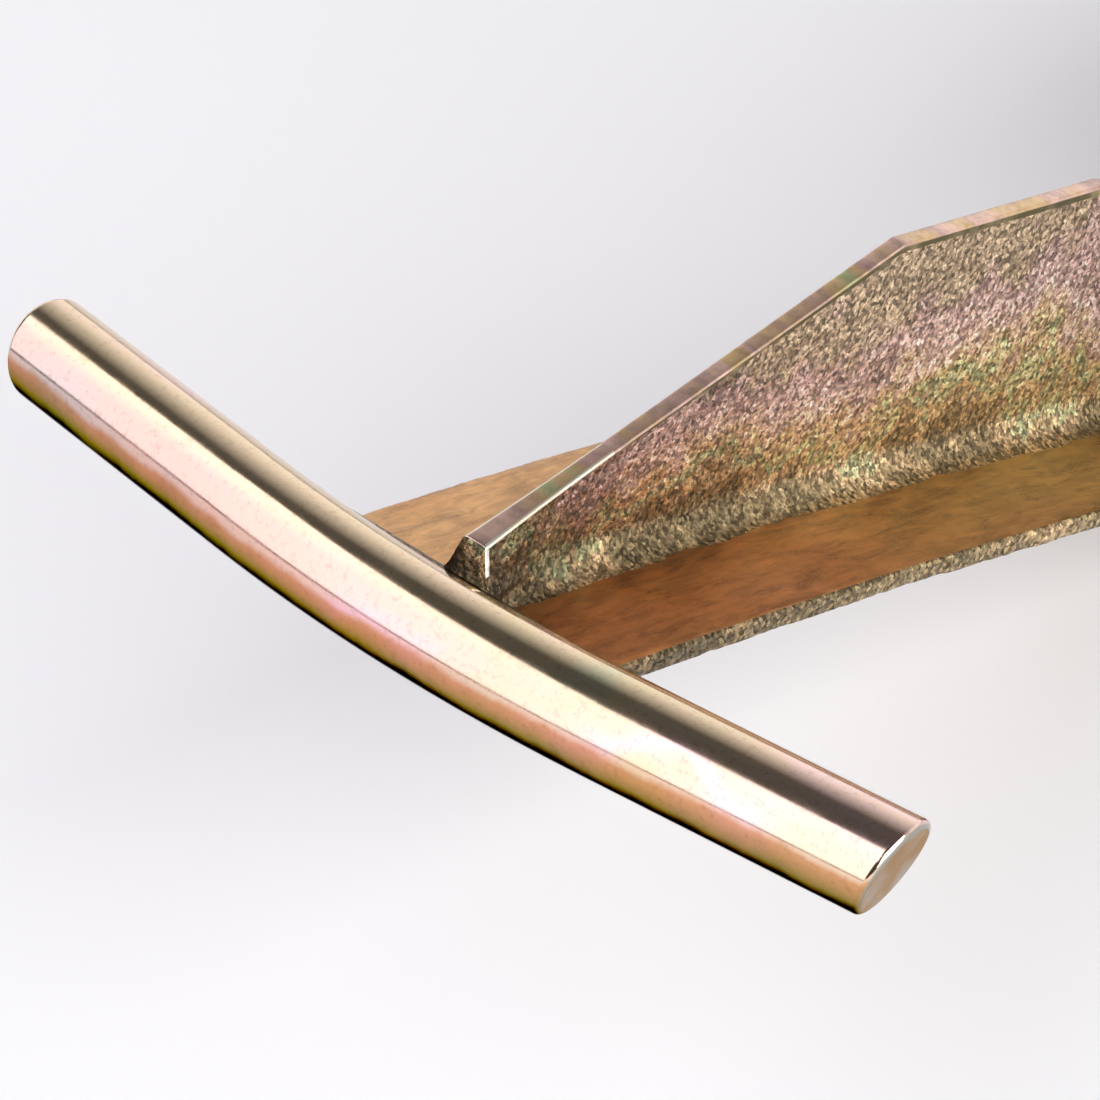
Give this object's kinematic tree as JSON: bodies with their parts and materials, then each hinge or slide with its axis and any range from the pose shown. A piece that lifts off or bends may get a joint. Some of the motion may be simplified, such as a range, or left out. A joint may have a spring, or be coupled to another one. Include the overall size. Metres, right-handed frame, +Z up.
{
  "type": "hand plane",
  "caption": "Forged steel hand plane: bent round cross bar on a ribbed, yellow-passivated arm, with a flat sole, bedded iron, screw adjuster, lever cap and turned front knob.",
  "frame": {"origin": "under the middle of the whole plane, on the sole's ground face", "axes": "+Z up, +Y from the cross bar towards the toe, +X across"},
  "size_m": [0.1269, 0.302, 0.0875],
  "materials": {
    "yellow_zinc": "yellow chromate over zinc, satin with an iridescent tint",
    "yellow_zinc_bar": "yellow chromate over zinc, glossy",
    "weld": "plated weld bead",
    "ground_steel": "ground",
    "bed_steel": "machined satin",
    "tool_steel": "lapped",
    "black_screw": "black oxide",
    "bright_screw": "bright zinc",
    "brass": "satin brass",
    "cap_iron": "satin nickel over iron",
    "spring_steel": "blued spring steel",
    "beech": "oiled beech"
  },
  "bodies": {
    "root": {"cross_bar": "yellow_zinc_bar", "cross_bar_weld": "weld", "body_forging": "yellow_zinc", "sole_plate": "ground_steel", "sole_screws": "black_screw", "bed_block": "bed_steel", "bed_screws": "bright_screw", "lever_cap": "cap_iron", "lever_cap_screw": "brass", "cap_leaf_spring": "spring_steel", "cap_spring_screw": "bright_screw", "front_knob": "beech", "knob_ring": "brass", "knob_stud": "bright_screw", "knob_nut": "brass"},
    "adjuster_swivel": {"pivot_barrel": "bright_screw"},
    "iron_set": {"iron": "tool_steel", "chip_breaker": "tool_steel", "chip_breaker_screw": "bright_screw", "carriage": "bed_steel"},
    "adjuster_knob": {"adjuster_spindle": "bright_screw", "spindle_clip": "black_screw", "adjuster_knob": "brass", "knob_set_screw": "black_screw"},
    "cap_lever": {"cap_lever": "brass", "cap_lever_pin": "bright_screw"}
  },
  "joints": [
    {"name": "iron_lateral", "type": "hinge", "parent": "root", "child": "adjuster_swivel", "pos_m": [0, 0.04987, 0.03041], "axis": [0, 0.7071, 0.7071], "range_deg": [-1.2, 1.2]},
    {"name": "iron_depth", "type": "slide", "parent": "adjuster_swivel", "child": "iron_set", "axis": [0, 0.7071, -0.7071], "range_m": [-0.00099, 0.00099]},
    {"name": "knob_turn", "type": "hinge", "parent": "iron_set", "child": "adjuster_knob", "pos_m": [0, 0.02158, 0.05586], "axis": [0, 0.7071, -0.7071], "range_deg": [-360, 360]},
    {"name": "cap_lever_turn", "type": "hinge", "parent": "root", "child": "cap_lever", "pos_m": [0, 0.04598, 0.0647], "axis": [-1, 0, 0], "range_deg": [0, 85]}
  ],
  "couplings": [
    {"joint": "knob_turn", "follows": "iron_depth", "rad_per_m": 6283.2}
  ]
}
